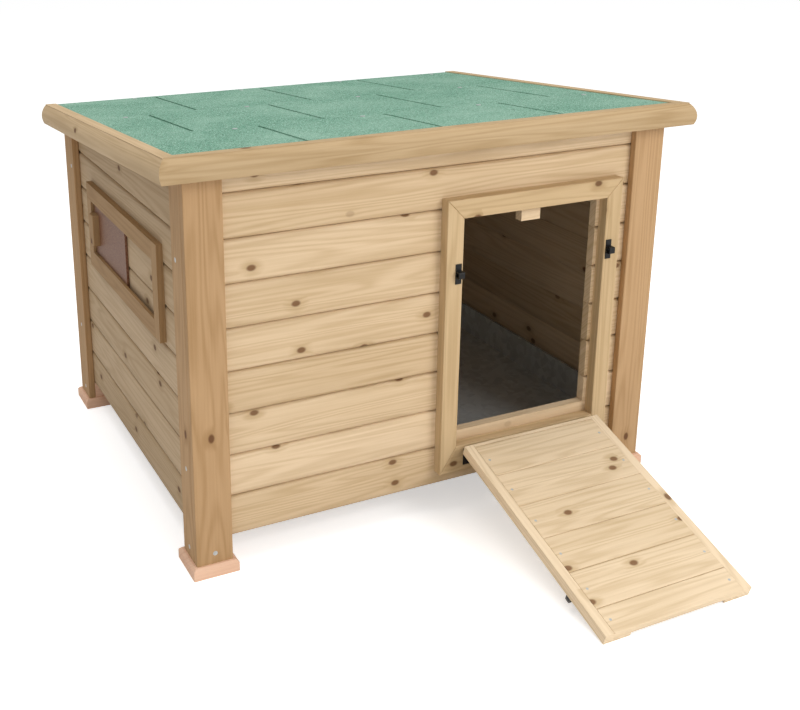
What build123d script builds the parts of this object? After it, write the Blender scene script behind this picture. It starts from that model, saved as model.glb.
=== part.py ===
from build123d import *
import math
import os

# Duck house: a boarded timber cabin on four feet, with a hinged felt roof, a door that drops down
# as a ramp, a sliding side shutter and a lift-out metal tray.
# All sizes are millimetres. While modelling, X runs right from the outer face of the left corner
# boards, Y runs back from the outer face of the front corner boards, and Z is up from the ground.
# The finished pieces are then moved so that the origin is under the middle of the whole object.

# Walls and corner boards
wall_width = 790.0
wall_depth = 670.0
walls_bottom = 47.5
board_pitch = 64.0
board_gap = 0.4
board_thickness = 15.0
board_edge_radius = 5.0
corner_board_thickness = 12.0
corner_front_width = 55.0
corner_side_width = 45.0
corner_edge_radius = 1.5

# Feet
foot_height = 18.0
foot_overhang = 7.0
foot_bevel = 4.0

# Door frame, a mitred surround on the front wall
opening_left = 424.5
opening_width = 258.5
opening_bottom = 115.5
opening_height = 367.5
frame_thickness = 18.0
frame_stile_width = 28.5
frame_top_height = 29.5
frame_bottom_height = 43.5
frame_edge_radius = 1.5
cladding_lip = 6.0
cladding_sill = 17.5
stop_block_width = 34.0
stop_block_height = 35.5
door_head_boards = 7

# Floor and tray
ledger_width = 20.0
ledger_height = 12.0
floor_thickness = 9.0
floor_clearance = 0.5
tray_clearance = 3.0
tray_height = 55.0
tray_sheet = 1.2
tray_rim_width = 5.0
tray_rim_height = 4.0
tray_corner_radius = 12.0

# Sliding shutter on the left wall
shutter_front = 136.0
shutter_back = 534.0
shutter_bottom = 311.0
shutter_window_height = 92.0
shutter_rail_height = 29.0
shutter_rail_thickness = 10.0
shutter_stop_width = 25.0
shutter_groove_depth = 8.0
shutter_groove_width = 5.0
shutter_clearance = 0.4
panel_thickness = 4.2
panel_length = 187.0
window_length = 142.0
window_height = 82.0
handle_width = 22.0
handle_height = 54.0
handle_thickness = 11.0
handle_inset = 5.0
handle_edge_radius = 2.0

# Ramp door
ramp_side_clearance = 3.0
ramp_end_clearance = 2.0
ramp_thickness = 16.0
ramp_side_width = 15.0
ramp_head_width = 5.0
ramp_board_thickness = 10.0
ramp_board_pitch = 63.2
ramp_board_count = 6
ramp_board_gap = 0.6
ramp_batten_width = 30.0
ramp_ground_clearance = 0.3
ramp_edge_radius = 1.2

# Hinges, one size for the door and one for the roof
leaf_thickness = 1.5
pin_radius = 1.5
pin_fixed_clearance = 0.02
pin_running_clearance = 0.05
knuckle_radius = 3.2
knuckle_count = 5
knuckle_gap = 0.4
knuckle_face_gap = 0.2
ramp_hinge_length = 50.0
ramp_hinge_leaf = 26.0
ramp_hinge_inset = 34.0
ramp_hinge_drop = 7.5
roof_hinge_length = 46.0
roof_hinge_fixed_leaf = 28.0
roof_hinge_moving_leaf = 13.5
roof_hinge_inset = 4.5

# Bolts and keepers
bolt_height = 284.0
bolt_radius = 2.5
bolt_running_clearance = 0.1
bolt_plate_length = 42.0
bolt_plate_height = 18.0
bolt_plate_thickness = 1.2
bolt_plate_inset = 2.0
bolt_guide_length = 6.0
bolt_guide_wall = 2.0
bolt_travel = 17.0
bolt_knob_radius = 2.0
bolt_knob_length = 9.0
keeper_width = 10.0
keeper_height = 31.0
keeper_edge_gap = 3.0
keeper_loop_gap = 6.6
keeper_wall = 2.0

# Roof lid
roof_slope = 4.0
roof_front_height = 620.0
roof_deck_thickness = 15.0
roof_side_overhang = 11.0
roof_front_overhang = 3.0
felt_thickness = 2.5
felt_course_gap = 0.8
felt_course_depths = (0.29, 0.345, 0.365)
felt_slot_width = 5.0
felt_slot_end = 14.0
felt_slot_pitch = 209.0
felt_slot_starts = (192.0, 94.0, 180.0)
trim_proud = 1.5
trim_height = 34.0
trim_lip = 18.0
trim_bulge = 26.0
trim_foot = 23.0
trim_groove = 1.5
roof_batten_size = 20.0
roof_batten_gap = 6.0

# Fasteners
screw_head_radius = 3.5
screw_head_height = 1.6
screw_shank_radius = 1.75
screw_length = 24.0
small_head_radius = 2.6
small_head_height = 1.0
small_shank_radius = 1.4
small_length = 9.0
nail_head_radius = 2.0
nail_head_height = 0.6
nail_shank_radius = 1.1
nail_length = 14.0
clout_head_radius = 4.0
clout_head_height = 0.8
clout_length = 14.0
clout_offset = 40.0
corner_side_screws = ((32.0, 34.0), (32.0, 160.0), (41.0, 468.0))
corner_front_screw = (28.0, 34.0)
nail_inset = 8.0

# Sizes that follow from the ones above
cladding_face = corner_board_thickness
cladding_back = cladding_face + board_thickness
inside_right = wall_width - cladding_back
inside_back = wall_depth - cladding_back
corner_side_end = corner_board_thickness + corner_side_width
opening_right = opening_left + opening_width
opening_top = opening_bottom + opening_height
door_middle = (opening_left + opening_right) / 2
doorway_head = walls_bottom + door_head_boards * board_pitch
frame_front = cladding_face - frame_thickness
pin_standoff = knuckle_radius + knuckle_face_gap
ramp_pin_y = frame_front - pin_standoff
ramp_pin_z = opening_bottom - ramp_hinge_drop
ramp_left = opening_left + ramp_side_clearance
ramp_right = opening_right - ramp_side_clearance
ramp_low = opening_bottom + ramp_end_clearance
ramp_high = opening_top - ramp_end_clearance - 1.0
ramp_inner_face = frame_front + ramp_thickness
ramp_board_back = ramp_inner_face - ramp_board_thickness
ramp_reach = math.hypot(ramp_high - ramp_pin_z, pin_standoff)
ramp_angle = math.degrees(
    math.acos((ramp_ground_clearance - ramp_pin_z) / ramp_reach)
    + math.atan2(pin_standoff, ramp_high - ramp_pin_z)
)
bolt_y = frame_front - bolt_plate_thickness - bolt_guide_wall - bolt_radius
bolt_z = opening_bottom + bolt_height
roof_pin_y = wall_depth + pin_standoff
slope_rise = math.tan(math.radians(roof_slope))
roof_under_front = roof_front_height - (roof_deck_thickness + felt_thickness) / math.cos(math.radians(roof_slope))
roof_pin_z = roof_under_front - roof_pin_y * slope_rise
floor_top = walls_bottom + ledger_height + floor_thickness
shutter_top = shutter_bottom + 2 * shutter_rail_height + shutter_window_height
panel_back = shutter_back - shutter_stop_width - 2 * shutter_clearance
panel_front = panel_back - panel_length
shutter_travel = panel_front - shutter_front - shutter_stop_width - 2 * shutter_clearance
panel_outer = cladding_face - shutter_clearance - panel_thickness
window_back = panel_back - (panel_length - window_length) / 5
window_front = window_back - window_length
window_middle = shutter_bottom + shutter_rail_height + shutter_window_height / 2


def block(x0, x1, y0, y1, z0, z1):
    """A box between two opposite corners."""
    return Pos((x0 + x1) / 2, (y0 + y1) / 2, (z0 + z1) / 2) * Box(x1 - x0, y1 - y0, z1 - z0)


def under_roof(y):
    """Height of the underside of the roof deck at a distance from the front."""
    return roof_pin_z + (roof_pin_y - y) * slope_rise


def on_roof(shape):
    """Places a shape modelled on a level roof, with the hinge pin as its origin."""
    return Pos(0, roof_pin_y, roof_pin_z) * Rot(X=-roof_slope) * shape


def opened(shape):
    """Swings a shape modelled on the closed door down to its rest as a ramp."""
    return Pos(0, ramp_pin_y, ramp_pin_z) * Rot(X=ramp_angle) * Pos(0, -ramp_pin_y, -ramp_pin_z) * shape


def mirrored(shape, right, back):
    """A shape made at the front left corner, mirrored to another corner."""
    if right:
        shape = mirror(shape, Plane.YZ.offset(wall_width / 2))
    if back:
        shape = mirror(shape, Plane.XZ.offset(-wall_depth / 2))
    return shape


def mirrored_in_door(shape):
    """A shape made at the left side of the door, mirrored to its right side."""
    return mirror(shape, Plane.YZ.offset(door_middle))


def fastener(head_radius, head_height, shank_radius, length):
    """A flush screw or nail with its head's top at the origin and its point down."""
    head = Pos(0, 0, -head_height / 2) * Cylinder(head_radius, head_height)
    shank = Pos(0, 0, -length / 2) * Cylinder(shank_radius, length)
    return head + shank


def wood_screw():
    return fastener(screw_head_radius, screw_head_height, screw_shank_radius, screw_length)


def small_screw():
    return fastener(small_head_radius, small_head_height, small_shank_radius, small_length)


def without(shapes, tools):
    """The shapes with every tool cut from them."""
    cut = []
    for shape in shapes:
        for tool in tools:
            if shape.bounding_box().overlaps(tool.bounding_box()):
                shape = shape - tool
        cut.append(shape)
    return cut


def space_above_walls():
    """The space that the roof deck takes, which trims the tops of the walls."""
    over = 4 * roof_side_overhang
    return on_roof(block(-over, wall_width + over, -wall_depth - over, over, 0, board_pitch * 2))


def cladding_board(length):
    """One board along X, with its rounded outer edges towards -Y."""
    height = board_pitch - board_gap
    profile = Pos(board_thickness / 2, height / 2) * Rectangle(board_thickness, height)
    profile = fillet(profile.vertices().group_by(Axis.X)[0], board_edge_radius)
    return extrude(Plane.YZ * profile, length)


def stacked_boards(length, top):
    """Boards on top of each other up to a height, along X from the origin."""
    count = math.ceil((top - walls_bottom) / board_pitch)
    board = cladding_board(length)
    return [Pos(0, 0, walls_bottom + k * board_pitch) * board for k in range(count)]


def front_boards():
    length = wall_width - 2 * cladding_face
    boards = [Pos(cladding_face, cladding_face, 0) * b for b in stacked_boards(length, under_roof(cladding_face))]
    doorway = block(
        opening_left + cladding_lip, opening_right - cladding_lip,
        cladding_face - board_thickness, cladding_back + board_thickness,
        opening_bottom + cladding_sill, doorway_head,
    )
    return without(boards, [space_above_walls(), doorway])


def back_boards():
    length = wall_width - 2 * cladding_face
    place = Pos(wall_width - cladding_face, wall_depth - cladding_face, 0) * Rot(Z=180)
    return without([place * b for b in stacked_boards(length, under_roof(inside_back))], [space_above_walls()])


def left_boards():
    length = wall_depth - 2 * cladding_back
    place = Pos(cladding_face, inside_back, 0) * Rot(Z=-90)
    window = block(
        cladding_face - board_thickness, cladding_back + board_thickness,
        window_front, window_back,
        window_middle - window_height / 2, window_middle + window_height / 2,
    )
    boards = [place * b for b in stacked_boards(length, under_roof(cladding_back))]
    return without(boards, [space_above_walls(), window])


def right_boards():
    length = wall_depth - 2 * cladding_back
    place = Pos(wall_width - cladding_face, cladding_back, 0) * Rot(Z=90)
    boards = [place * b for b in stacked_boards(length, under_roof(cladding_back))]
    return without(boards, [space_above_walls()])


def corner_boards():
    """The wide front board and the side board butted behind it, at the front left corner."""
    front = block(0, corner_front_width, 0, corner_board_thickness, foot_height, roof_front_height)
    side = block(0, corner_board_thickness, corner_board_thickness, corner_side_end, foot_height, roof_front_height)
    rounded = []
    for board in (front, side):
        rounded.append(fillet(board.edges().filter_by(Axis.Z), corner_edge_radius))
    return rounded


def foot():
    """A bevelled pad with a block that stands up inside the corner boards."""
    pad = block(
        -foot_overhang, corner_front_width + foot_overhang,
        -foot_overhang, corner_side_end + foot_overhang, 0, foot_height,
    )
    pad = chamfer(pad.faces().sort_by(Axis.Z)[-1].edges(), foot_bevel)
    upstand = block(
        corner_board_thickness, corner_front_width,
        corner_board_thickness, corner_side_end, foot_height / 2, walls_bottom,
    )
    return pad + upstand


def corner_screw_set():
    """The screws of the front left corner, three in the side board and one in the front board."""
    screws = [Pos(0, y, z) * Rot(Y=-90) * wood_screw() for y, z in corner_side_screws]
    x, z = corner_front_screw
    screws.append(Pos(x, 0, z) * Rot(X=90) * wood_screw())
    return screws


def frame_piece(points):
    """A mitred piece of the door surround from its outline on the front wall."""
    wall = Plane(origin=(0, cladding_face, 0), x_dir=(1, 0, 0), z_dir=(0, -1, 0))
    outline = wall * make_face(Polyline(*points, close=True))
    piece = extrude(outline, frame_thickness, dir=(0, -1, 0))
    front = piece.faces().sort_by(Axis.Y)[0]
    return fillet(front.edges(), frame_edge_radius)


def door_frame():
    """The four mitred pieces of the surround by name."""
    inner = [
        (opening_left, opening_bottom), (opening_right, opening_bottom),
        (opening_right, opening_top), (opening_left, opening_top),
    ]
    outer = [
        (opening_left - frame_stile_width, opening_bottom - frame_bottom_height),
        (opening_right + frame_stile_width, opening_bottom - frame_bottom_height),
        (opening_right + frame_stile_width, opening_top + frame_top_height),
        (opening_left - frame_stile_width, opening_top + frame_top_height),
    ]
    names = ("door_rail_bottom", "door_stile_right", "door_rail_top", "door_stile_left")
    pieces = {}
    for k, name in enumerate(names):
        after = (k + 1) % len(names)
        pieces[name] = frame_piece([outer[k], outer[after], inner[after], inner[k]])
    return pieces


def door_stop_block():
    """The small block under the board over the doorway, which the top of the closed door meets."""
    return block(
        door_middle - stop_block_width / 2, door_middle + stop_block_width / 2,
        cladding_face, cladding_back, doorway_head - stop_block_height, doorway_head,
    )


def floor_ledgers():
    """Battens round the inside of the walls that carry the floor."""
    z0, z1 = walls_bottom, walls_bottom + ledger_height
    left = block(cladding_back, cladding_back + ledger_width, cladding_back, inside_back, z0, z1)
    right = block(inside_right - ledger_width, inside_right, cladding_back, inside_back, z0, z1)
    front = block(
        cladding_back + ledger_width, inside_right - ledger_width,
        cladding_back, cladding_back + ledger_width, z0, z1,
    )
    back = block(
        cladding_back + ledger_width, inside_right - ledger_width,
        inside_back - ledger_width, inside_back, z0, z1,
    )
    return [left, right, front, back]


def floor_panel():
    return block(
        cladding_back + floor_clearance, inside_right - floor_clearance,
        cladding_back + floor_clearance, inside_back - floor_clearance,
        floor_top - floor_thickness, floor_top,
    )


def tray():
    """A folded sheet tray with a turned rim."""
    rim_left = cladding_back + tray_clearance
    rim_right = inside_right - tray_clearance
    rim_front = cladding_back + tray_clearance
    rim_back = inside_back - tray_clearance
    middle = Pos((rim_left + rim_right) / 2, (rim_front + rim_back) / 2)
    length = rim_right - rim_left
    depth = rim_back - rim_front

    def layer(inset, z0, z1):
        radius = tray_corner_radius - inset
        plate = middle * RectangleRounded(length - 2 * inset, depth - 2 * inset, radius)
        return Pos(0, 0, z0) * extrude(plate, z1 - z0)

    wall = tray_rim_width - tray_sheet
    body = layer(wall, floor_top, floor_top + tray_height)
    rim = layer(0, floor_top + tray_height - tray_rim_height, floor_top + tray_height)
    hollow = layer(tray_rim_width, floor_top + tray_sheet, floor_top + tray_height + tray_sheet)
    return body + rim - hollow


def shutter_rail(upper):
    """One of the two grooved rails that hold the shutter panel against the wall."""
    z0 = shutter_top - shutter_rail_height if upper else shutter_bottom
    outer = cladding_face - shutter_rail_thickness
    rail = block(
        outer, cladding_face, shutter_front + shutter_stop_width, shutter_back,
        z0, z0 + shutter_rail_height,
    )
    g0 = z0 if upper else z0 + shutter_rail_height - shutter_groove_depth
    groove = block(
        cladding_face - shutter_groove_width, cladding_face, shutter_front, shutter_back + shutter_stop_width,
        g0, g0 + shutter_groove_depth,
    )
    return rail - groove


def shutter_stop(front):
    """The batten across the end of the rails."""
    outer = cladding_face - shutter_rail_thickness
    if front:
        return block(
            outer, cladding_face, shutter_front, shutter_front + shutter_stop_width,
            shutter_bottom, shutter_top,
        )
    return block(
        outer, cladding_face, shutter_back - shutter_stop_width, shutter_back,
        shutter_bottom + shutter_rail_height, shutter_top - shutter_rail_height,
    )


def shutter_panel():
    low = shutter_bottom + shutter_rail_height - shutter_groove_depth + shutter_clearance
    high = shutter_top - shutter_rail_height + shutter_groove_depth - shutter_clearance
    return block(panel_outer, panel_outer + panel_thickness, panel_front, panel_back, low, high)


def shutter_handle():
    handle = block(
        panel_outer - handle_thickness, panel_outer,
        panel_back - handle_inset - handle_width, panel_back - handle_inset,
        window_middle - handle_height / 2, window_middle + handle_height / 2,
    )
    return fillet(handle.faces().sort_by(Axis.X)[0].edges(), handle_edge_radius)


def hinge_knuckle(length, index, bore_radius):
    """One knuckle of a hinge whose pin runs along X through the origin."""
    step = length / knuckle_count
    centre = (index + 0.5) * step - length / 2
    size = step - knuckle_gap
    tube = Rot(Y=90) * (Cylinder(knuckle_radius, size) - Cylinder(bore_radius, size))
    return Pos(centre, 0, 0) * tube


def hinge_leaf(length, reach, moving):
    """A leaf with its knuckles: the plate lies at +Y and rises if it moves, or hangs if it is fixed."""
    sign = 1 if moving else -1
    clearance = pin_running_clearance if moving else pin_fixed_clearance
    start = knuckle_radius + knuckle_gap
    near = pin_standoff - leaf_thickness
    low, high = sorted((sign * start, sign * reach))
    leaf = block(-length / 2 + knuckle_gap, length / 2 - knuckle_gap, near, pin_standoff, low, high)
    step = length / knuckle_count
    for index in range(1 if moving else 0, knuckle_count, 2):
        centre = (index + 0.5) * step - length / 2
        half = (step - knuckle_gap) / 2
        tab_low, tab_high = sorted((0.0, sign * start))
        tab = block(centre - half, centre + half, near, pin_standoff, tab_low, tab_high)
        bore = Pos(centre, 0, 0) * Rot(Y=90) * Cylinder(pin_radius + clearance, step)
        leaf = leaf + (tab - bore) + hinge_knuckle(length, index, pin_radius + clearance)
    return leaf


def hinge_pin(length):
    return Rot(Y=90) * Cylinder(pin_radius, length)


def leaf_screws(length, reach, moving):
    """Two flush screws through a leaf, pointing into what carries it."""
    z = (reach + knuckle_radius) / 2 * (1 if moving else -1)
    face = pin_standoff - leaf_thickness
    return [Pos(x, face, z) * Rot(X=90) * small_screw() for x in (-length / 4, length / 4)]


def ramp_hinge_places():
    return [
        Pos(ramp_left + ramp_hinge_inset, ramp_pin_y, ramp_pin_z),
        Pos(ramp_right - ramp_hinge_inset, ramp_pin_y, ramp_pin_z),
    ]


def roof_hinge_places():
    """The pins of the roof hinges, turned so that the leaves face the back of the house."""
    inset = roof_hinge_inset + roof_hinge_length / 2
    turned = Rot(Z=180)
    return [
        Pos(inset, roof_pin_y, roof_pin_z) * turned,
        Pos(wall_width - inset, roof_pin_y, roof_pin_z) * turned,
    ]


def roof_lid_hinge_places():
    """The same pins in the level frame of the roof lid."""
    inset = roof_hinge_inset + roof_hinge_length / 2
    return [Pos(inset, 0, 0) * Rot(Z=180), Pos(wall_width - inset, 0, 0) * Rot(Z=180)]


def ramp_boards():
    """The ramp's boards, modelled on the closed door from the hinge end up."""
    x0 = ramp_left + ramp_side_width
    x1 = ramp_right - ramp_side_width
    start = ramp_low + ramp_head_width
    boards = []
    for k in range(ramp_board_count):
        z0 = start + k * ramp_board_pitch + ramp_board_gap
        z1 = min(start + (k + 1) * ramp_board_pitch, ramp_high)
        board = block(x0, x1, ramp_board_back, ramp_inner_face, z0, z1)
        walked = board.faces().sort_by(Axis.Y)[-1].edges().filter_by(Axis.X)
        boards.append(fillet(walked, ramp_edge_radius))
    return boards


def ramp_side():
    side = block(ramp_left, ramp_left + ramp_side_width, frame_front, ramp_inner_face, ramp_low, ramp_high)
    return fillet(side.edges().filter_by(Axis.Z), ramp_edge_radius)


def ramp_head():
    return block(
        ramp_left + ramp_side_width, ramp_right - ramp_side_width,
        frame_front, ramp_inner_face, ramp_low, ramp_low + ramp_head_width,
    )


def ramp_battens():
    """The two battens under the ends of the ramp boards."""
    z0 = ramp_low + ramp_head_width + ramp_board_gap
    x0 = ramp_left + ramp_side_width
    batten = block(x0, x0 + ramp_batten_width, frame_front, ramp_board_back, z0, ramp_high)
    return [batten, mirrored_in_door(batten)]


def ramp_nails():
    """One nail in each end of each ramp board."""
    nail = Rot(X=-90) * fastener(nail_head_radius, nail_head_height, nail_shank_radius, nail_length)
    start = ramp_low + ramp_head_width
    nails = []
    for k in range(ramp_board_count):
        top = min(start + (k + 1) * ramp_board_pitch, ramp_high)
        z = (start + k * ramp_board_pitch + top) / 2
        for x in (ramp_left + ramp_side_width + nail_inset, ramp_right - ramp_side_width - nail_inset):
            nails.append(Pos(x, ramp_inner_face, z) * nail)
    return nails


def bolt_guides():
    """The plate and two guides of the left bolt, on the closed door's outer face."""
    x0 = ramp_left + bolt_plate_inset
    x1 = x0 + bolt_plate_length
    half = bolt_radius + bolt_guide_wall
    plate = block(
        x0, x1, frame_front - bolt_plate_thickness, frame_front,
        bolt_z - bolt_plate_height / 2, bolt_z + bolt_plate_height / 2,
    )
    for start in (x0, x1 - bolt_guide_length):
        guide = block(start, start + bolt_guide_length, bolt_y - half, frame_front, bolt_z - half, bolt_z + half)
        plate = plate + fillet(guide.faces().sort_by(Axis.Y)[0].edges().filter_by(Axis.X), bolt_guide_wall)
    bore = Pos((x0 + x1) / 2, bolt_y, bolt_z) * Rot(Y=90) * Cylinder(
        bolt_radius + bolt_running_clearance, bolt_plate_length + bolt_guide_length
    )
    return plate - bore


def bolt():
    """The left bolt, drawn back until its tip is level with the edge of the door."""
    x0 = ramp_left
    x1 = ramp_left + bolt_plate_inset + bolt_plate_length + bolt_guide_length
    rod = Pos((x0 + x1) / 2, bolt_y, bolt_z) * Rot(Y=90) * Cylinder(bolt_radius, x1 - x0)
    rod = chamfer(rod.edges().group_by(Axis.X)[0], bolt_radius / 4)
    knob_x = x1 - 2 * bolt_guide_length - bolt_knob_radius - bolt_running_clearance * 4
    knob = Pos(knob_x, bolt_y - bolt_knob_length / 2, bolt_z) * Rot(X=90) * Cylinder(
        bolt_knob_radius, bolt_knob_length
    )
    return rod + knob


def bolt_screws():
    x0 = ramp_left + bolt_plate_inset
    face = frame_front - bolt_plate_thickness
    z = bolt_plate_height / 2 - small_head_radius * 0.9
    places = [
        (x0 + bolt_plate_length / 2 + dx, bolt_z + dz)
        for dx, dz in ((-bolt_plate_length / 5, z), (bolt_plate_length / 5, -z))
    ]
    return [Pos(x, face, at) * Rot(X=90) * small_screw() for x, at in places]


def keeper():
    """The left keeper, a staple on the stile that the bolt slides into."""
    x1 = opening_left - keeper_edge_gap
    x0 = x1 - keeper_width
    half = keeper_loop_gap / 2
    front = bolt_y - half - keeper_wall
    plate = block(
        x0, x1, frame_front - bolt_plate_thickness, frame_front,
        bolt_z - keeper_height / 2, bolt_z + keeper_height / 2,
    )
    loop = block(x0, x1, front, frame_front, bolt_z - half - keeper_wall, bolt_z + half + keeper_wall)
    loop = fillet(loop.faces().sort_by(Axis.Y)[0].edges().filter_by(Axis.X), keeper_wall)
    gap = block(x0 - keeper_wall, x1 + keeper_wall, bolt_y - half, bolt_y + half, bolt_z - half, bolt_z + half)
    return plate + loop - gap


def keeper_screws():
    x = opening_left - keeper_edge_gap - keeper_width / 2
    face = frame_front - bolt_plate_thickness
    rise = (keeper_height / 2 + keeper_loop_gap / 2 + keeper_wall) / 2
    return [Pos(x, face, bolt_z + dz) * Rot(X=90) * small_screw() for dz in (-rise, rise)]


def roof_extent():
    """Left, right, front and back edges of the deck in the lid's level frame."""
    return (
        -roof_side_overhang, wall_width + roof_side_overhang,
        -roof_front_overhang - roof_pin_y, -pin_standoff,
    )


def roof_deck():
    x0, x1, y0, y1 = roof_extent()
    return block(x0, x1, y0, y1, 0, roof_deck_thickness)


def felt_courses():
    """Three courses of felt shingles with their slots, from the front to the back."""
    x0, x1, y0, y1 = roof_extent()
    courses = []
    start = y0
    for k, share in enumerate(felt_course_depths):
        end = start + share * (y1 - y0)
        course = block(
            x0, x1, start, end - felt_course_gap, roof_deck_thickness, roof_deck_thickness + felt_thickness,
        )
        slot_x = x0 + felt_slot_starts[k]
        while slot_x < x1 - felt_slot_width:
            course = course - block(
                slot_x - felt_slot_width / 2, slot_x + felt_slot_width / 2,
                start - felt_slot_width, end - felt_slot_end,
                roof_deck_thickness, roof_deck_thickness + 2 * felt_thickness,
            )
            slot_x += felt_slot_pitch
        courses.append(course)
        start = end
    return courses


def felt_nails():
    """Clout nails beside the slots of each course, their heads on the felt."""
    x0, x1, y0, y1 = roof_extent()
    top = roof_deck_thickness + felt_thickness + clout_head_height
    nail = fastener(clout_head_radius, clout_head_height, nail_shank_radius, clout_length)
    nails = []
    start = y0
    for k, share in enumerate(felt_course_depths):
        end = start + share * (y1 - y0)
        x = x0 + felt_slot_starts[k] - clout_offset
        while x < x1 - felt_slot_width:
            nails.append(Pos(x, end - clout_offset / 2, top) * nail)
            x += felt_slot_pitch
        start = end
    return nails


def trim_profile():
    """Outline of the roof moulding: X outwards from the deck's edge, Y up from its top face."""
    lip = trim_lip
    edge = Line((0, 0), (lip, 0))
    groove = Line(edge @ 1, (lip, -trim_groove))
    belly = ThreePointArc(groove @ 1, (trim_bulge, -trim_height * 0.47), (trim_foot, -trim_height))
    under = Line(belly @ 1, (0, -trim_height))
    inner = Line(under @ 1, (0, 0))
    return make_face(Wire([edge, groove, belly, under, inner]))


def trims():
    """The front and side mouldings, mitred together at the front corners, in the lid's level frame."""
    x0, x1, y0, y1 = roof_extent()
    top = roof_deck_thickness + felt_thickness + trim_proud
    profile = trim_profile()
    long = x1 - x0 + 4 * trim_bulge
    along_x = extrude(Plane(origin=(0, 0, 0), x_dir=(0, -1, 0), z_dir=(-1, 0, 0)) * profile, long)
    front = Pos(x1 + 2 * trim_bulge, y0, top) * along_x
    deep = y1 - y0 + 2 * trim_bulge
    along_y = extrude(Plane(origin=(0, 0, 0), x_dir=(-1, 0, 0), z_dir=(0, 1, 0)) * profile, deep)
    left = Pos(x0, y0 - 2 * trim_bulge, top) * along_y
    left_cut = mitre_space(x0, y0)
    right_cut = mirror(left_cut, Plane.YZ.offset(wall_width / 2))
    front = front - left_cut - right_cut
    left = left & left_cut
    return {"trim_front": front, "trim_left": left, "trim_right": mirror(left, Plane.YZ.offset(wall_width / 2))}


def mitre_space(x0, y0):
    """Everything on the left moulding's side of the left front mitre."""
    far = 2 * wall_depth
    corner = make_face(Polyline((x0, y0), (x0 - far, y0 - far), (x0 - far, y0 + far), (x0, y0 + far), close=True))
    return Pos(0, 0, -trim_height) * extrude(corner, 3 * trim_height)


def roof_battens():
    """Four battens under the deck that fit just inside the walls."""
    size = roof_batten_size
    gap = roof_batten_gap
    x0, x1 = cladding_back + gap, inside_right - gap
    y0, y1 = cladding_back + gap - roof_pin_y, inside_back - gap - roof_pin_y
    left = block(x0, x0 + size, y0, y1, -size, 0)
    right = block(x1 - size, x1, y0, y1, -size, 0)
    front = block(x0 + size, x1 - size, y0, y0 + size, -size, 0)
    back = block(x0 + size, x1 - size, y1 - size, y1, -size, 0)
    return [left, right, front, back]


def house_nodes():
    """Everything that stands still."""
    nodes = {}
    corner_screws = []
    for right in (False, True):
        for back in (False, True):
            corner_screws += [mirrored(s, right, back) for s in corner_screw_set()]
    cut = [space_above_walls()]
    for right in (False, True):
        for back in (False, True):
            name = ("back" if back else "front") + ("_right" if right else "_left")
            nodes["foot_" + name] = without([mirrored(foot(), right, back)], corner_screws)
            boards = [mirrored(b, right, back) for b in corner_boards()]
            nodes["corner_" + name] = without(boards, cut + corner_screws)
    nodes["front_boards"] = without(front_boards(), corner_screws)
    nodes["back_boards"] = without(back_boards(), corner_screws)
    nodes["left_boards"] = without(left_boards(), corner_screws)
    nodes["right_boards"] = without(right_boards(), corner_screws)
    nodes["corner_screws"] = corner_screws
    for name, piece in door_frame().items():
        nodes[name] = [piece]
    nodes["door_stop_block"] = [door_stop_block()]
    nodes["floor_ledgers"] = floor_ledgers()
    nodes["floor_panel"] = [floor_panel()]
    nodes["shutter_rail_upper"] = [shutter_rail(True)]
    nodes["shutter_rail_lower"] = [shutter_rail(False)]
    nodes["shutter_stop_front"] = [shutter_stop(True)]
    nodes["shutter_stop_back"] = [shutter_stop(False)]
    return nodes


def add_house_fittings(nodes):
    """Keepers, fixed hinge leaves, pins and their screws, with the screw holes in what carries them."""
    keeper_set = keeper_screws()
    nodes["keeper_left"] = without([keeper()], keeper_set)
    nodes["keeper_right"] = [mirrored_in_door(k) for k in nodes["keeper_left"]]
    keeper_set = keeper_set + [mirrored_in_door(s) for s in keeper_set]
    ramp_leaf = hinge_leaf(ramp_hinge_length, ramp_hinge_leaf, False)
    ramp_set = leaf_screws(ramp_hinge_length, ramp_hinge_leaf, False)
    ramp_screws = [place * s for place in ramp_hinge_places() for s in ramp_set]
    nodes["ramp_hinge_fixed"] = [place * without([ramp_leaf], ramp_set)[0] for place in ramp_hinge_places()]
    nodes["ramp_hinge_pins"] = [place * hinge_pin(ramp_hinge_length) for place in ramp_hinge_places()]
    roof_leaf = hinge_leaf(roof_hinge_length, roof_hinge_fixed_leaf, False)
    roof_set = leaf_screws(roof_hinge_length, roof_hinge_fixed_leaf, False)
    roof_screws = [place * s for place in roof_hinge_places() for s in roof_set]
    nodes["roof_hinge_fixed"] = [place * without([roof_leaf], roof_set)[0] for place in roof_hinge_places()]
    nodes["roof_hinge_pins"] = [place * hinge_pin(roof_hinge_length) for place in roof_hinge_places()]
    nodes["fitting_screws"] = keeper_set + ramp_screws + roof_screws
    for name in ("door_stile_left", "door_stile_right", "door_rail_bottom", "corner_back_left",
                 "corner_back_right", "back_boards"):
        nodes[name] = without(nodes[name], nodes["fitting_screws"])


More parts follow.
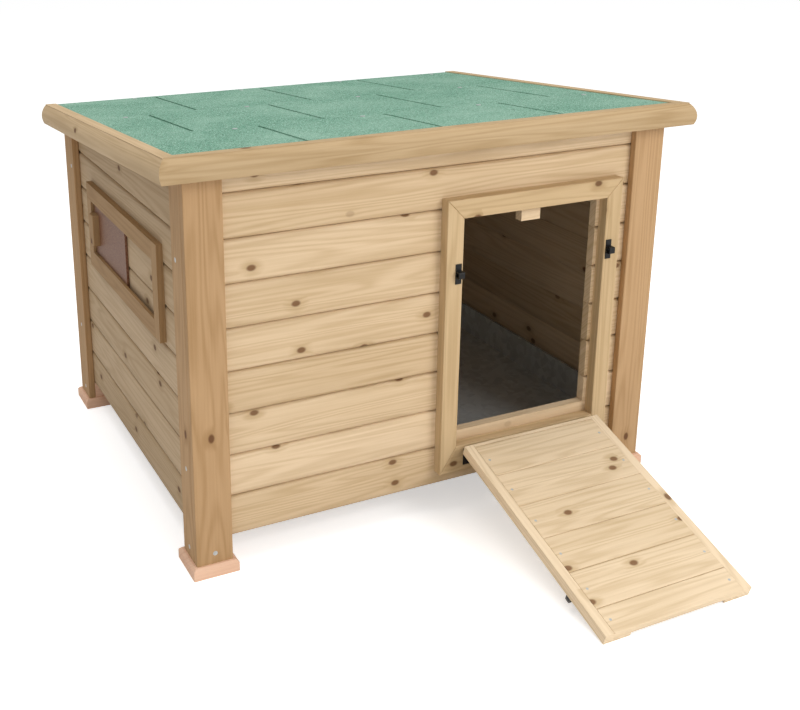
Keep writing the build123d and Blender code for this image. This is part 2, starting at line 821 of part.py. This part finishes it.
def ramp_nodes():
    """The ramp, its hinge leaves and its bolts, modelled closed and swung down to rest."""
    nails = ramp_nails()
    screws = bolt_screws()
    screws = screws + [mirrored_in_door(s) for s in screws]
    hinge_set = leaf_screws(ramp_hinge_length, ramp_hinge_leaf, True)
    screws = screws + [place * s for place in ramp_hinge_places() for s in hinge_set]
    leaf = without([hinge_leaf(ramp_hinge_length, ramp_hinge_leaf, True)], hinge_set)[0]
    guides = without([bolt_guides()], screws)
    closed = {}
    for k, board in enumerate(ramp_boards()):
        closed[f"ramp_board_{k + 1}"] = without([board], nails + screws)
    closed["ramp_side_left"] = without([ramp_side()], screws)
    closed["ramp_side_right"] = without([mirrored_in_door(ramp_side())], screws)
    closed["ramp_head"] = without([ramp_head()], screws)
    closed["ramp_battens"] = without(ramp_battens(), nails + screws)
    closed["ramp_nails"] = nails
    closed["ramp_hinge_moving"] = [place * leaf for place in ramp_hinge_places()]
    closed["ramp_screws"] = screws
    closed["bolt_guides_left"] = guides
    closed["bolt_guides_right"] = [mirrored_in_door(g) for g in guides]
    closed["bolt_left"] = [bolt()]
    closed["bolt_right"] = [mirrored_in_door(bolt())]
    return {name: [opened(s) for s in shapes] for name, shapes in closed.items()}


def roof_nodes():
    """The roof lid, modelled level with its hinge pin as the origin and tilted to its slope."""
    nails = felt_nails()
    hinge_set = leaf_screws(roof_hinge_length, roof_hinge_moving_leaf, True)
    hinge_screws = [place * s for place in roof_lid_hinge_places() for s in hinge_set]
    leaf = without([hinge_leaf(roof_hinge_length, roof_hinge_moving_leaf, True)], hinge_set)[0]
    level = {"roof_deck": without([roof_deck()], nails + hinge_screws)}
    level["roof_felt"] = without(felt_courses(), nails)
    level["felt_nails"] = nails
    level["roof_battens"] = roof_battens()
    level["roof_hinge_moving"] = [place * leaf for place in roof_lid_hinge_places()]
    level["roof_hinge_screws"] = hinge_screws
    for name, piece in trims().items():
        level[name] = [piece]
    return {name: [on_roof(s) for s in shapes] for name, shapes in level.items()}


def solids_of(shapes):
    """Every solid of a node's shapes."""
    found = []
    for shape in shapes:
        found += list(shape.solids())
    return found


nodes = house_nodes()
add_house_fittings(nodes)
nodes["tray"] = [tray()]
nodes["shutter_panel"] = [shutter_panel()]
nodes["shutter_handle"] = [shutter_handle()]
nodes.update(ramp_nodes())
nodes.update(roof_nodes())

solids = {name: solids_of(shapes) for name, shapes in nodes.items()}
bounds = Compound([s for group in solids.values() for s in group]).bounding_box()
shift_x = -(bounds.min.X + bounds.max.X) / 2
shift_y = -(bounds.min.Y + bounds.max.Y) / 2
shift_z = -bounds.min.Z

os.makedirs("parts", exist_ok=True)
for name, group in solids.items():
    moved = [Pos(shift_x, shift_y, shift_z) * s for s in group]
    whole = moved[0] if len(moved) == 1 else Compound(moved)
    whole.label = name
    export_step(whole, f"parts/{name}.step")

print("nodes", len(solids), "solids", sum(len(group) for group in solids.values()))
print("shift", round(shift_x, 3), round(shift_y, 3), round(shift_z, 3))
print("size", bounds.size)
print("ramp pin", round(ramp_pin_y + shift_y, 3), round(ramp_pin_z + shift_z, 3), "angle", round(ramp_angle, 3))
print("roof pin", round(roof_pin_y + shift_y, 3), round(roof_pin_z + shift_z, 3))
print("shutter travel", round(shutter_travel, 2), "window", window_front, window_back, "panel", panel_front, panel_back)
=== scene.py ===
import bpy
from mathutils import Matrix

bl_info = {
    "name": "Duck House",
    "version": (1, 0, 0),
    "blender": (4, 5, 0),
    "location": "View3D > Sidebar > Duck House",
    "description": "Finishes a boarded timber duck house and lights it for a picture",
    "category": "Object",
}

import math

import bpy
from mathutils import Matrix, Vector

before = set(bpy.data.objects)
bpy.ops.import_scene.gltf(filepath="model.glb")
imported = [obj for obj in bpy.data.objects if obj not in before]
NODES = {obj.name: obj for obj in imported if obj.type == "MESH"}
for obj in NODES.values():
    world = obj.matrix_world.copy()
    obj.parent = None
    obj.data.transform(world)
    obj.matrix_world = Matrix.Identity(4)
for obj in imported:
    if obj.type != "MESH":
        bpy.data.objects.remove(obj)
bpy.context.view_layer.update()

# Real sizes, in metres
BOARD_PITCH = 0.064
WALLS_BOTTOM = 0.0475
RAMP_SLOPE = math.radians(17.35)
ROOF_SLOPE = math.radians(4.0)
FELT_GRAIN = 0.0011
SPANGLE = 0.012
BOARD_CROWN = 0.0035

# How often each wood pattern repeats in a metre, along and across the fibres
KNOTS_PER_METRE = (9.0, 13.5)
RINGS_PER_METRE = (1.1, 22.105263)
STREAKS_PER_METRE = (7.0, 312.5)
BLOTCHES_PER_METRE = (3.5, 9.0)

# Limits of the knots, as shares of their spacing, and the share of places that hold one
KNOT_CORE = (0.045, 0.075)
KNOT_HALO = (0.03, 0.2)
KNOT_CHOSEN = (0.58, 0.62)
KNOT_PUSH = 4.0
KNOT_STRENGTH = 0.85
HALO_STRENGTH = 0.45

# How much each wood pattern darkens the wood, and where its shades begin and end
RING_COUNT = 95.0
RING_SHARPNESS = 1.7
RING_SHADE = 0.2
STREAK_SHADE = 0.4
BLOTCH_SHADE = 0.16
BLOTCH_LIMITS = (0.35, 0.75)
SHADE_LIMITS = (0.02, 0.92)

# How far each board's wood is shifted along and across, in metres
BOARD_SHIFT = (9.0, 3.7)

# How the planks of each part differ from the front wall in red, green and blue; the side walls' tone is
# painted shade and the shutter's tone is partly painted shade
CORNER_TONE = (0.74, 0.62, 0.50)
SURROUND_TONE = (0.80, 0.76, 0.66)
# Shutter: partly its own darker red-brown wood, partly painted shade of the shaded top of the left wall
SHUTTER_TONE_AND_PAINTED_SHADE = (0.56, 0.46, 0.34)
# Side walls: painted shade, the front's pine darkened evenly to stand in for the shade on the left wall
SIDE_PAINTED_SHADE = (0.74, 0.72, 0.70)
TRIM_TONE = (0.78, 0.75, 0.68)
RAMP_TONE = (1.15, 1.22, 1.32)
PLY_FIGURE_TONE = (0.62, 0.55, 0.48)
SPANGLE_TONE = 0.85

# The deck's top is told from its other faces by how far its normal points up, with the roof shut
DECK_TOP_NORMAL = (0.9, 0.95)

# Floor and lights, in metres; each power is a share of the main light's
FLOOR_HALF = 30.0
FLOOR_GREY = 0.93
FLOOR_GLOW = 0.5
LIGHTS = (
    ("key", (1.5, -2.9, 2.3), (0.0, -0.1, 0.3), 1.6, 1.0),
    ("top", (-0.5, 0.4, 3.2), (0.0, 0.1, 0.3), 2.4, 0.8),
    ("fill", (-0.2, -2.6, 0.7), (0.2, 0.2, 0.25), 0.9, 0.1),
)

# The photograph's view: turned right of straight ahead, looking down a little
LENS = 50.468
SENSOR = 36.0
SHIFT = (0.1046, -0.15)
CAMERA_PLACE = (-0.8258, -1.4802, 0.9449)
CAMERA_TURN = (-25.054, -17.299, -0.241)


def linear(text):
    """An sRGB hex colour as linear red, green, blue and alpha."""
    values = [int(text[i:i + 2], 16) / 255 for i in (1, 3, 5)]
    return tuple(v / 12.92 if v <= 0.04045 else ((v + 0.055) / 1.055) ** 2.4 for v in values) + (1.0,)


def colour_property(name, text, description):
    """A colour that the user can set, with its default given in hex."""
    return bpy.props.FloatVectorProperty(
        name=name, description=description, subtype="COLOR", size=4, min=0.0, max=1.0, default=linear(text)
    )


class DuckHouseColours(bpy.types.PropertyGroup):
    """Colours of the finished surfaces."""

    pine_light: colour_property("Pine light", "#e2c8a5", "Pale wood between the growth rings")
    pine_dark: colour_property("Pine dark", "#a98a5c", "Darker wood of the growth rings")
    knot: colour_property("Knots", "#6b4424", "Knots in the pine")
    foot_light: colour_property("Feet light", "#ecc5a8", "Pale wood of the feet")
    foot_dark: colour_property("Feet dark", "#cf9f80", "Darker grain of the feet")
    ply: colour_property("Plywood", "#c9a676", "Floor and roof deck")
    felt: colour_property("Felt", "#5f937b", "Mean colour of the roofing granules")
    felt_light: colour_property("Felt light", "#a9c9b6", "Lightest roofing granules")
    felt_dark: colour_property("Felt dark", "#3a5a4b", "Darkest roofing granules")
    # The shutter panel's colours are partly its own dark brown and partly painted shade of the left wall
    hardboard: colour_property("Hardboard", "#65361f", "Sliding shutter panel")
    hardboard_pale: colour_property("Hardboard mottle", "#8b6548", "Paler specks of the shutter panel")
    zinc: colour_property("Zinc", "#c9cccb", "Screws, nails and the tray")
    iron: colour_property("Black iron", "#171615", "Hinges, bolts and keepers")


class DuckHouseLook(bpy.types.PropertyGroup):
    """Numbers that set how strong each effect is."""

    grain_depth: bpy.props.FloatProperty(
        name="Grain depth", description="Height of the wood grain", default=0.0005,
        min=0.0, max=0.003, unit="LENGTH", precision=5,
    )
    granule_depth: bpy.props.FloatProperty(
        name="Granule depth", description="Height of the roofing granules", default=0.0008,
        min=0.0, max=0.003, unit="LENGTH", precision=5,
    )
    board_contrast: bpy.props.FloatProperty(
        name="Board contrast", description="How much one board differs from the next", default=0.30,
        min=0.0, max=1.0, subtype="FACTOR",
    )
    key_power: bpy.props.FloatProperty(
        name="Key light", description="Power of the main light", default=62.0,
        min=0.0, max=500.0, unit="POWER",
    )
    sky_strength: bpy.props.FloatProperty(
        name="Sky", description="Strength of the white surroundings", default=0.52, min=0.0, max=5.0,
    )


def add_node(tree, kind, inputs=None, **settings):
    """Adds a node, sets its properties, and sets or links its inputs."""
    node = tree.nodes.new(kind)
    for name, value in settings.items():
        setattr(node, name, value)
    for key, value in (inputs or {}).items():
        if isinstance(value, bpy.types.NodeSocket):
            tree.links.new(value, node.inputs[key])
        else:
            node.inputs[key].default_value = value
    return node


def math_node(tree, operation, first, second=0.0):
    """A number worked out from one or two values or sockets."""
    return add_node(tree, "ShaderNodeMath", {0: first, 1: second}, operation=operation).outputs[0]


def scaled(tree, value, factor, plus):
    """value * factor + plus."""
    sockets = {0: value, 1: factor, 2: plus}
    return add_node(tree, "ShaderNodeMath", sockets, operation="MULTIPLY_ADD").outputs[0]


def mixed(tree, factor, first, second, blend="MIX"):
    """A colour between two colours."""
    sockets = {0: factor, 6: first, 7: second}
    return add_node(tree, "ShaderNodeMix", sockets, data_type="RGBA", blend_type=blend).outputs[2]


def stepped(tree, value, low, high):
    """A value stretched from low..high to 0..1 and held there."""
    node = add_node(tree, "ShaderNodeMapRange", {0: value, 1: low, 2: high, 3: 0.0, 4: 1.0})
    return node.outputs[0]


def noise_at(tree, vector, scale, detail=2.0, roughness=0.5, distortion=0.0):
    """A smooth noise value from 0 to 1."""
    node = add_node(
        tree, "ShaderNodeTexNoise",
        {"Vector": vector, "Scale": scale, "Detail": detail,
         "Roughness": roughness, "Distortion": distortion},
    )
    return node.outputs[0]


def new_surface(name):
    """A material with its tree and its main shader."""
    material = bpy.data.materials.new(name)
    material.use_nodes = True
    tree = material.node_tree
    return material, tree, tree.nodes["Principled BSDF"]


def bumped(tree, shader, height, distance, strength=1.0):
    """Lets a height change the surface normal."""
    bump = add_node(tree, "ShaderNodeBump", {"Height": height, "Distance": distance, "Strength": strength})
    tree.links.new(bump.outputs[0], shader.inputs["Normal"])


def timber(name, grain, seed, light, dark, stacked=False, tilt=0.0, knots=True, tone=None):
    """Sawn softwood.

    grain is the axis of the fibres and tilt turns it about X. stacked gives each wall board its own wood.
    tone multiplies the colour.
    """
    look = bpy.context.scene.duck_house_look
    colours = bpy.context.scene.duck_house_colours
    material, tree, shader = new_surface(name)
    place = add_node(tree, "ShaderNodeTexCoord").outputs["Object"]
    turned = add_node(
        tree, "ShaderNodeMapping", {"Vector": place, "Rotation": (-tilt, 0.0, 0.0)}, vector_type="POINT"
    ).outputs[0]
    axes = add_node(tree, "ShaderNodeSeparateXYZ", {0: turned}).outputs
    others = [axes[a] for a in "XYZ" if a != grain]
    across = math_node(tree, "ADD", others[0], others[1])

    # Each board has its own stretch of wood and its own tone
    if stacked:
        rows = math_node(tree, "DIVIDE", math_node(tree, "SUBTRACT", axes["Z"], WALLS_BOTTOM), BOARD_PITCH)
        number = math_node(tree, "ADD", math_node(tree, "FLOOR", rows), float(seed))
    else:
        number = float(seed) + 0.5
    own = add_node(tree, "ShaderNodeTexWhiteNoise", {"W": number}, noise_dimensions="1D").outputs[0]
    along = math_node(tree, "ADD", axes[grain], math_node(tree, "MULTIPLY", own, BOARD_SHIFT[0]))
    across = math_node(tree, "ADD", across, math_node(tree, "MULTIPLY", own, BOARD_SHIFT[1]))

    def stretched(per_metre):
        """Pattern space with its own scale along and across the fibres."""
        first = math_node(tree, "MULTIPLY", along, per_metre[0])
        second = math_node(tree, "MULTIPLY", across, per_metre[1])
        return add_node(tree, "ShaderNodeCombineXYZ", {0: first, 1: second, 2: float(seed)}).outputs[0]

    # Knots push the growth rings aside, so they come first
    cells = add_node(
        tree, "ShaderNodeTexVoronoi",
        {"Vector": stretched(KNOTS_PER_METRE), "Scale": 1.0, "Randomness": 1.0},
        feature="F1", voronoi_dimensions="2D",
    )
    near = cells.outputs["Distance"]
    draw = add_node(tree, "ShaderNodeSeparateColor", {0: cells.outputs["Color"]}).outputs[0]
    chosen = stepped(tree, draw, *KNOT_CHOSEN)
    core = math_node(tree, "SUBTRACT", 1.0, stepped(tree, near, *KNOT_CORE))
    halo = math_node(tree, "SUBTRACT", 1.0, stepped(tree, near, *KNOT_HALO))
    core = math_node(tree, "MULTIPLY", core, chosen)
    halo = math_node(tree, "MULTIPLY", halo, chosen)

    # Growth rings: a slow noise turned into many thin bands
    slow = noise_at(tree, stretched(RINGS_PER_METRE), 1.0, 2.0, 0.45, 0.25)
    slow = math_node(tree, "MULTIPLY", slow, RING_COUNT)
    bands = math_node(tree, "ADD", slow, math_node(tree, "MULTIPLY", halo, KNOT_PUSH))
    rings = scaled(tree, math_node(tree, "SINE", bands), 0.5, 0.5)
    rings = math_node(tree, "POWER", rings, RING_SHARPNESS)

    # Fine fibres and slow blotches of the treatment
    fibres = noise_at(tree, stretched(STREAKS_PER_METRE), 1.0, 5.0, 0.62)
    blotch = stepped(tree, noise_at(tree, stretched(BLOTCHES_PER_METRE), 1.0, 3.0, 0.55), *BLOTCH_LIMITS)

    shade = scaled(tree, math_node(tree, "SUBTRACT", own, 0.5), look.board_contrast, 0.0)
    for pattern, strength in ((rings, RING_SHADE), (fibres, STREAK_SHADE), (blotch, BLOTCH_SHADE)):
        shade = math_node(tree, "ADD", shade, math_node(tree, "MULTIPLY", pattern, strength))
    colour = mixed(tree, stepped(tree, shade, *SHADE_LIMITS), tuple(light), tuple(dark))
    if knots:
        colour = mixed(tree, math_node(tree, "MULTIPLY", halo, HALO_STRENGTH), colour, tuple(dark))
        colour = mixed(tree, math_node(tree, "MULTIPLY", core, KNOT_STRENGTH), colour, tuple(colours.knot))
    if tone:
        colour = mixed(tree, 1.0, colour, tone + (1.0,), "MULTIPLY")
    tree.links.new(colour, shader.inputs["Base Color"])
    shader.inputs["Roughness"].default_value = 0.68
    shader.inputs["Specular IOR Level"].default_value = 0.3
    rise = math_node(tree, "MULTIPLY", fibres, 0.7)
    height = math_node(tree, "ADD", rise, math_node(tree, "MULTIPLY", rings, -0.25))
    if stacked:
        # The boards are planed a little convex between their joints
        off_middle = math_node(tree, "ABSOLUTE", scaled(tree, math_node(tree, "FRACT", rows), 2.0, -1.0))
        crown = math_node(tree, "POWER", off_middle, 3.0)
        sunk = math_node(tree, "MULTIPLY", crown, BOARD_CROWN / look.grain_depth)
        height = math_node(tree, "SUBTRACT", height, sunk)
    bumped(tree, shader, height, look.grain_depth)
    return material


def roof_felt_surface():
    """Mineral granules pressed into bitumen felt, with paler and darker patches."""
    look = bpy.context.scene.duck_house_look
    colours = bpy.context.scene.duck_house_colours
    material, tree, shader = new_surface("green_felt")
    place = add_node(tree, "ShaderNodeTexCoord").outputs["Object"]
    grains = add_node(
        tree, "ShaderNodeTexVoronoi",
        {"Vector": place, "Scale": 1.0 / FELT_GRAIN, "Randomness": 1.0}, feature="F1",
    )
    own = add_node(tree, "ShaderNodeSeparateColor", {0: grains.outputs["Color"]}).outputs[0]
    patch = noise_at(tree, place, 9.0, 4.0, 0.6)
    colour = mixed(tree, stepped(tree, own, 0.62, 0.98), tuple(colours.felt), tuple(colours.felt_light))
    darkest = math_node(tree, "SUBTRACT", 1.0, stepped(tree, own, 0.02, 0.3))
    colour = mixed(tree, darkest, colour, tuple(colours.felt_dark))
    paler = math_node(tree, "MULTIPLY", stepped(tree, patch, 0.4, 0.7), 0.30)
    colour = mixed(tree, paler, colour, tuple(colours.felt_light))
    tree.links.new(colour, shader.inputs["Base Color"])
    shader.inputs["Roughness"].default_value = 0.82
    shader.inputs["Specular IOR Level"].default_value = 0.35
    height = math_node(tree, "SUBTRACT", 1.0, grains.outputs["Distance"])
    bumped(tree, shader, height, look.granule_depth, 0.6)
    return material


def plywood(name, green_top):
    """Sanded plywood. A deck's top face is as green as the felt, and is seen through the felt's slots."""
    colours = bpy.context.scene.duck_house_colours
    material, tree, shader = new_surface(name)
    place = add_node(tree, "ShaderNodeTexCoord").outputs["Object"]
    long = add_node(tree, "ShaderNodeMapping", {"Vector": place, "Scale": (4.0, 60.0, 60.0)}).outputs[0]
    figure = noise_at(tree, long, 1.0, 4.0, 0.6)
    dark = tuple(v * t for v, t in zip(colours.ply[:3], PLY_FIGURE_TONE)) + (1.0,)
    colour = mixed(tree, stepped(tree, figure, 0.35, 0.7), tuple(colours.ply), dark)
    if green_top:
        normal = add_node(tree, "ShaderNodeNewGeometry").outputs["Normal"]
        up = add_node(tree, "ShaderNodeSeparateXYZ", {0: normal}).outputs["Z"]
        colour = mixed(tree, stepped(tree, up, *DECK_TOP_NORMAL), colour, tuple(colours.felt))
    tree.links.new(colour, shader.inputs["Base Color"])
    shader.inputs["Roughness"].default_value = 0.7
    return material


def hardboard():
    """Smooth pressed board with a faint mottled face."""
    colours = bpy.context.scene.duck_house_colours
    material, tree, shader = new_surface("hardboard")
    place = add_node(tree, "ShaderNodeTexCoord").outputs["Object"]
    mottled = noise_at(tree, place, 420.0, 3.0, 0.6)
    specks = stepped(tree, mottled, 0.3, 0.7)
    # The panel's colours hold its own brown and painted shade of the left wall
    colour = mixed(tree, specks, tuple(colours.hardboard), tuple(colours.hardboard_pale))
    tree.links.new(colour, shader.inputs["Base Color"])
    shader.inputs["Roughness"].default_value = 0.5
    return material


def galvanised(name, base, roughness):
    """Zinc on steel, whose crystals differ a little in tone and gloss."""
    material, tree, shader = new_surface(name)
    place = add_node(tree, "ShaderNodeTexCoord").outputs["Object"]
    crystals = add_node(
        tree, "ShaderNodeTexVoronoi", {"Vector": place, "Scale": 1.0 / SPANGLE}, feature="F1"
    )
    own = add_node(tree, "ShaderNodeSeparateColor", {0: crystals.outputs["Color"]}).outputs[0]
    darker = tuple(SPANGLE_TONE * v for v in base[:3]) + (1.0,)
    colour = mixed(tree, stepped(tree, own, 0.0, 1.0), tuple(base), darker)
    tree.links.new(colour, shader.inputs["Base Color"])
    shader.inputs["Metallic"].default_value = 0.6
    tree.links.new(scaled(tree, own, 0.2, roughness), shader.inputs["Roughness"])
    return material


def black_iron():
    """Satin black paint on iron."""
    colours = bpy.context.scene.duck_house_colours
    material, tree, shader = new_surface("black_iron")
    place = add_node(tree, "ShaderNodeTexCoord").outputs["Object"]
    rough = noise_at(tree, place, 900.0, 3.0, 0.6)
    shader.inputs["Base Color"].default_value = tuple(colours.iron)
    shader.inputs["Metallic"].default_value = 0.4
    tree.links.new(scaled(tree, rough, 0.25, 0.28), shader.inputs["Roughness"])
    bumped(tree, shader, rough, 0.0002, 0.5)
    return material


def finish_node(name, material):
    """Gives a CAD piece its material."""
    piece = NODES[name]
    piece.data.materials.clear()
    piece.data.materials.append(material)


def finish_pine(name, grain, seed, **more):
    """Gives a CAD piece treated pine in the scene's own colours."""
    colours = bpy.context.scene.duck_house_colours
    surface = timber(name, grain, seed, colours.pine_light, colours.pine_dark, **more)
    finish_node(name, surface)


def finish_iron(surface, *names):
    """Gives CAD pieces one iron surface."""
    for name in names:
        finish_node(name, surface)


def plain_iron():
    """The black iron already made for the frame's fittings, or else a new black_iron()."""
    return bpy.data.materials.get("black_iron") or black_iron()


class DUCKHOUSE_OT_walls(bpy.types.Operator):
    """Finish the boards of the four walls"""

    bl_idname = "duckhouse.walls"
    bl_label = "Wall Boards"

    def execute(self, context):
        finish_pine("front_boards", "X", 3, stacked=True)
        finish_pine("back_boards", "X", 23, stacked=True)
        # The side walls' pine is darkened evenly by a tone, as painted shade
        finish_pine("left_boards", "Y", 43, stacked=True, tone=SIDE_PAINTED_SHADE)
        finish_pine("right_boards", "Y", 63, stacked=True, tone=SIDE_PAINTED_SHADE)
        return {"FINISHED"}


class DUCKHOUSE_OT_corners(bpy.types.Operator):
    """Finish the corner boards, the feet and their screws"""

    bl_idname = "duckhouse.corners"
    bl_label = "Corners and Feet"

    def execute(self, context):
        colours = context.scene.duck_house_colours
        for number, place in enumerate(("front_left", "front_right", "back_left", "back_right")):
            finish_pine("corner_" + place, "Z", 90 + number, tone=CORNER_TONE)
            foot = timber(
                "foot_" + place, "X", 100 + number, colours.foot_light, colours.foot_dark, knots=False
            )
            finish_node("foot_" + place, foot)
        finish_node("corner_screws", galvanised("zinc_screws", colours.zinc, 0.35))
        return {"FINISHED"}


class DUCKHOUSE_OT_doorway(bpy.types.Operator):
    """Finish the door surround, its stop block, the keepers and the fixed hinge leaves"""

    bl_idname = "duckhouse.doorway"
    bl_label = "Doorway"

    def execute(self, context):
        finish_pine("door_stile_left", "Z", 110, tone=SURROUND_TONE)
        finish_pine("door_stile_right", "Z", 111, tone=SURROUND_TONE)
        finish_pine("door_rail_top", "X", 112, tone=SURROUND_TONE)
        finish_pine("door_rail_bottom", "X", 113, tone=SURROUND_TONE)
        finish_pine("door_stop_block", "X", 118)
        finish_iron(black_iron(), "keeper_left", "keeper_right", "ramp_hinge_fixed", "ramp_hinge_pins",
                    "fitting_screws", "roof_hinge_fixed", "roof_hinge_pins")
        return {"FINISHED"}


class DUCKHOUSE_OT_floor(bpy.types.Operator):
    """Finish the floor, its ledgers and the metal tray"""

    bl_idname = "duckhouse.floor"
    bl_label = "Floor and Tray"

    def execute(self, context):
        finish_node("floor_panel", plywood("floor_panel", False))
        finish_pine("floor_ledgers", "Y", 125)
        tray = galvanised("galvanised_sheet", context.scene.duck_house_colours.zinc, 0.38)
        finish_node("tray", tray)
        return {"FINISHED"}


class DUCKHOUSE_OT_shutter(bpy.types.Operator):
    """Finish the sliding shutter, its rails and its handle"""

    bl_idname = "duckhouse.shutter"
    bl_label = "Shutter"

    def execute(self, context):
        # The shutter's tone is partly the wood's own darker red-brown and partly painted shade
        finish_pine("shutter_rail_upper", "Y", 130, tone=SHUTTER_TONE_AND_PAINTED_SHADE)
        finish_pine("shutter_rail_lower", "Y", 131, tone=SHUTTER_TONE_AND_PAINTED_SHADE)
        finish_pine("shutter_stop_front", "Z", 132, tone=SHUTTER_TONE_AND_PAINTED_SHADE)
        finish_pine("shutter_stop_back", "Z", 133, tone=SHUTTER_TONE_AND_PAINTED_SHADE)
        finish_pine("shutter_handle", "Z", 134, tone=SHUTTER_TONE_AND_PAINTED_SHADE)
        finish_node("shutter_panel", hardboard())
        return {"FINISHED"}


class DUCKHOUSE_OT_ramp(bpy.types.Operator):
    """Finish the ramp, its nails, its hinge leaves and its bolts"""

    bl_idname = "duckhouse.ramp"
    bl_label = "Ramp"

    def execute(self, context):
        colours = context.scene.duck_house_colours
        for k in range(1, 7):
            finish_pine(f"ramp_board_{k}", "X", 140 + 7 * k, tilt=RAMP_SLOPE, tone=RAMP_TONE)
        finish_pine("ramp_side_left", "Y", 190, tilt=RAMP_SLOPE, tone=RAMP_TONE)
        finish_pine("ramp_side_right", "Y", 191, tilt=RAMP_SLOPE, tone=RAMP_TONE)
        finish_pine("ramp_battens", "Y", 192, tilt=RAMP_SLOPE, tone=RAMP_TONE)
        finish_pine("ramp_head", "X", 193, tilt=RAMP_SLOPE, tone=RAMP_TONE)
        finish_node("ramp_nails", galvanised("zinc_nails", colours.zinc, 0.4))
        finish_iron(plain_iron(), "ramp_hinge_moving", "ramp_screws", "bolt_guides_left",
                    "bolt_guides_right", "bolt_left", "bolt_right")
        return {"FINISHED"}


class DUCKHOUSE_OT_roof(bpy.types.Operator):
    """Finish the roof lid: deck, felt, mouldings, battens and hinge leaves"""

    bl_idname = "duckhouse.roof"
    bl_label = "Roof"

    def execute(self, context):
        zinc = context.scene.duck_house_colours.zinc
        finish_node("roof_deck", plywood("roof_deck", True))
        finish_node("roof_felt", roof_felt_surface())
        finish_pine("roof_battens", "X", 205)
        finish_pine("trim_front", "X", 210, tone=TRIM_TONE)
        finish_pine("trim_left", "Y", 211, tilt=-ROOF_SLOPE, tone=TRIM_TONE)
        finish_pine("trim_right", "Y", 212, tilt=-ROOF_SLOPE, tone=TRIM_TONE)
        nails = bpy.data.materials.get("zinc_nails") or galvanised("zinc_nails", zinc, 0.4)
        finish_node("felt_nails", nails)
        finish_iron(plain_iron(), "roof_hinge_moving", "roof_hinge_screws")
        return {"FINISHED"}


def area_light(name, place, aim, size, power):
    """A soft square light at a place, turned to a point."""
    data = bpy.data.lights.new(name, "AREA")
    data.size = size
    data.energy = power
    lamp = bpy.data.objects.new(name, data)
    lamp.location = place
    lamp.rotation_euler = (Vector(aim) - Vector(place)).to_track_quat("-Z", "Y").to_euler()
    bpy.context.scene.collection.objects.link(lamp)


class DUCKHOUSE_OT_stage(bpy.types.Operator):
    """Add the floor, the surroundings, the lights and the camera"""

    bl_idname = "duckhouse.stage"
    bl_label = "Stage"

    def execute(self, context):
        scene = context.scene
        look = scene.duck_house_look
        half = FLOOR_HALF
        corners = [(-half, -half, 0), (half, -half, 0), (half, half, 0), (-half, half, 0)]
        mesh = bpy.data.meshes.new("stage_floor")
        mesh.from_pydata(corners, [], [(0, 1, 2, 3)])
        ground = bpy.data.objects.new("stage_floor", mesh)
        scene.collection.objects.link(ground)
        material, tree, shader = new_surface("stage_floor")
        shader.inputs["Base Color"].default_value = (FLOOR_GREY, FLOOR_GREY, FLOOR_GREY, 1.0)
        shader.inputs["Roughness"].default_value = 0.9
        shader.inputs["Specular IOR Level"].default_value = 0.0
        shader.inputs["Emission Color"].default_value = (1.0, 1.0, 1.0, 1.0)
        seen = add_node(tree, "ShaderNodeLightPath").outputs["Is Camera Ray"]
        tree.links.new(math_node(tree, "MULTIPLY", seen, FLOOR_GLOW), shader.inputs["Emission Strength"])
        mesh.materials.append(material)

        # White surroundings: full white to the camera, softer as a light
        world = bpy.data.worlds.new("surroundings")
        world.use_nodes = True
        scene.world = world
        tree = world.node_tree
        back = tree.nodes["Background"]
        back.inputs["Color"].default_value = (1.0, 1.0, 1.0, 1.0)
        seen = add_node(tree, "ShaderNodeLightPath").outputs["Is Camera Ray"]
        strength = scaled(tree, seen, 1.0 - look.sky_strength, look.sky_strength)
        tree.links.new(strength, back.inputs["Strength"])

        for name, place, aim, size, share in LIGHTS:
            area_light(name, place, aim, size, look.key_power * share)

        data = bpy.data.cameras.new("camera")
        data.lens = LENS
        data.sensor_width = SENSOR
        data.shift_x, data.shift_y = SHIFT
        camera = bpy.data.objects.new("camera", data)
        yaw, pitch, roll = (math.radians(angle) for angle in CAMERA_TURN)
        turn = Matrix.Rotation(yaw, 4, "Z") @ Matrix.Rotation(math.pi / 2 + pitch, 4, "X")
        turn = turn @ Matrix.Rotation(roll, 4, "Z")
        camera.matrix_world = Matrix.Translation(CAMERA_PLACE) @ turn
        scene.collection.objects.link(camera)
        scene.camera = camera
        scene.view_settings.view_transform = "Standard"
        scene.view_settings.look = "None"
        return {"FINISHED"}


OPERATORS = (
    DUCKHOUSE_OT_walls, DUCKHOUSE_OT_corners, DUCKHOUSE_OT_doorway, DUCKHOUSE_OT_floor,
    DUCKHOUSE_OT_shutter, DUCKHOUSE_OT_ramp, DUCKHOUSE_OT_roof, DUCKHOUSE_OT_stage,
)


class DUCKHOUSE_PT_panel(bpy.types.Panel):
    """Lists the pieces and the settings"""

    bl_idname = "DUCKHOUSE_PT_panel"
    bl_label = "Duck House"
    bl_space_type = "VIEW_3D"
    bl_region_type = "UI"
    bl_category = "Duck House"

    def draw(self, context):
        for operator in OPERATORS:
            self.layout.operator(operator.bl_idname)
        for group in (context.scene.duck_house_colours, context.scene.duck_house_look):
            for name in group.__annotations__:
                self.layout.prop(group, name)


CLASSES = (DuckHouseColours, DuckHouseLook) + OPERATORS + (DUCKHOUSE_PT_panel,)


def register():
    for cls in CLASSES:
        bpy.utils.register_class(cls)
    bpy.types.Scene.duck_house_colours = bpy.props.PointerProperty(type=DuckHouseColours)
    bpy.types.Scene.duck_house_look = bpy.props.PointerProperty(type=DuckHouseLook)


def unregister():
    del bpy.types.Scene.duck_house_look
    del bpy.types.Scene.duck_house_colours
    for cls in reversed(CLASSES):
        bpy.utils.unregister_class(cls)


def main():
    """Builds every piece and the stage."""
    register()
    for operator in OPERATORS:
        group, name = operator.bl_idname.split(".")
        getattr(getattr(bpy.ops, group), name)()


if __name__ == "__main__":
    main()
